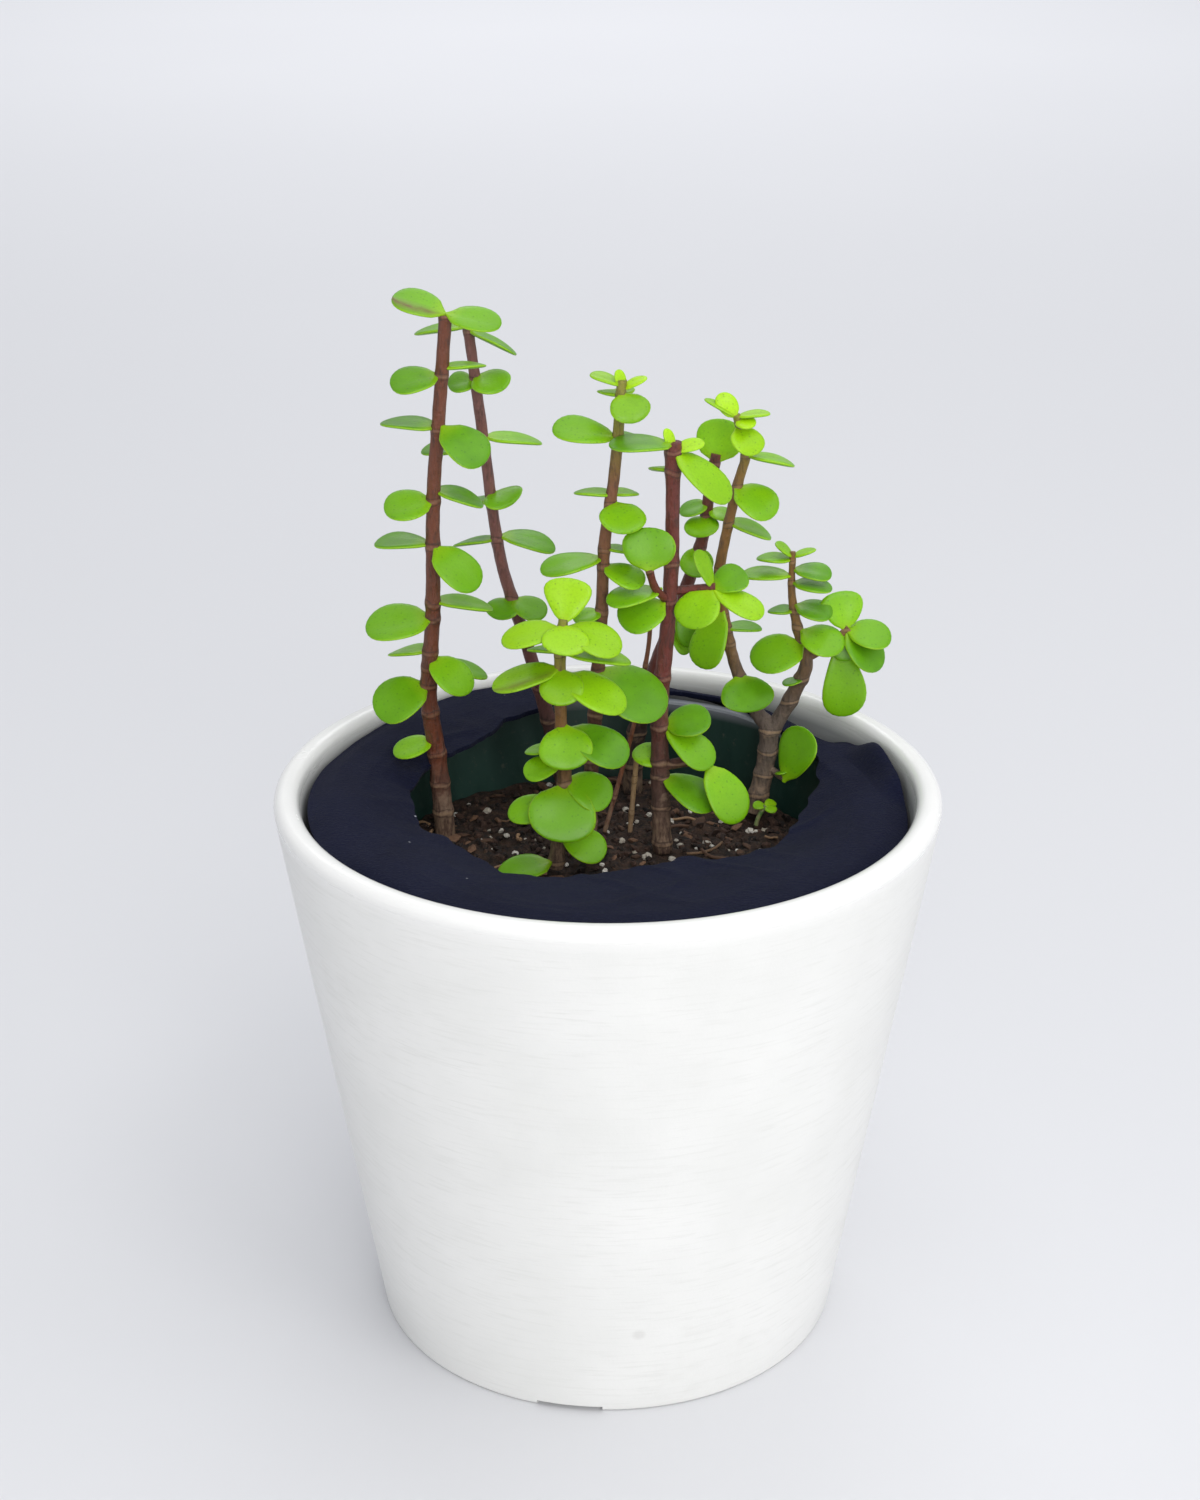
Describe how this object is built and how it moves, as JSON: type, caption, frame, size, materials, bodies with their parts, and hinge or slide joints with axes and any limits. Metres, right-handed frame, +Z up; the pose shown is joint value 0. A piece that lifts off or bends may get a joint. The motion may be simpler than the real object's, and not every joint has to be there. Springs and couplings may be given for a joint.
{
  "type": "potted elephant bush",
  "caption": "Upright succulent with opposite round fleshy leaves on bare woody stems, in a nursery pot of soil set in a tapered white planter with a dark felt cover.",
  "frame": {"origin": "bottom centre of the planter's foot ring, on the surface that it stands on", "axes": "+Z up along the planter's axis, -Y toward the front view, +X to the right of that view"},
  "size_m": [0.2, 0.2, 0.3182],
  "materials": {
    "planter_white": "matte, faintly brushed",
    "nursery_green": "thin glossy plastic",
    "soil": "loose dark potting mix",
    "felt": "soft felt",
    "leafy_stem": "fleshy satin leaves on barked stems",
    "stalk_red": "thin fresh shoot",
    "stalk_tan": "dry stalk",
    "weed_green": "soft seedling"
  },
  "bodies": {
    "root": {"planter": "planter_white", "nursery_pot": "nursery_green", "soil": "soil", "felt_cover": "felt", "stem_a": "leafy_stem", "stem_b": "leafy_stem", "stem_c": "leafy_stem", "stem_d": "leafy_stem", "stem_e": "leafy_stem", "stem_f": "leafy_stem", "stem_g": "leafy_stem", "thin_shoot_red": "stalk_red", "thin_shoot_tan": "stalk_tan", "weed_seedling": "weed_green"}
  },
  "joints": []
}
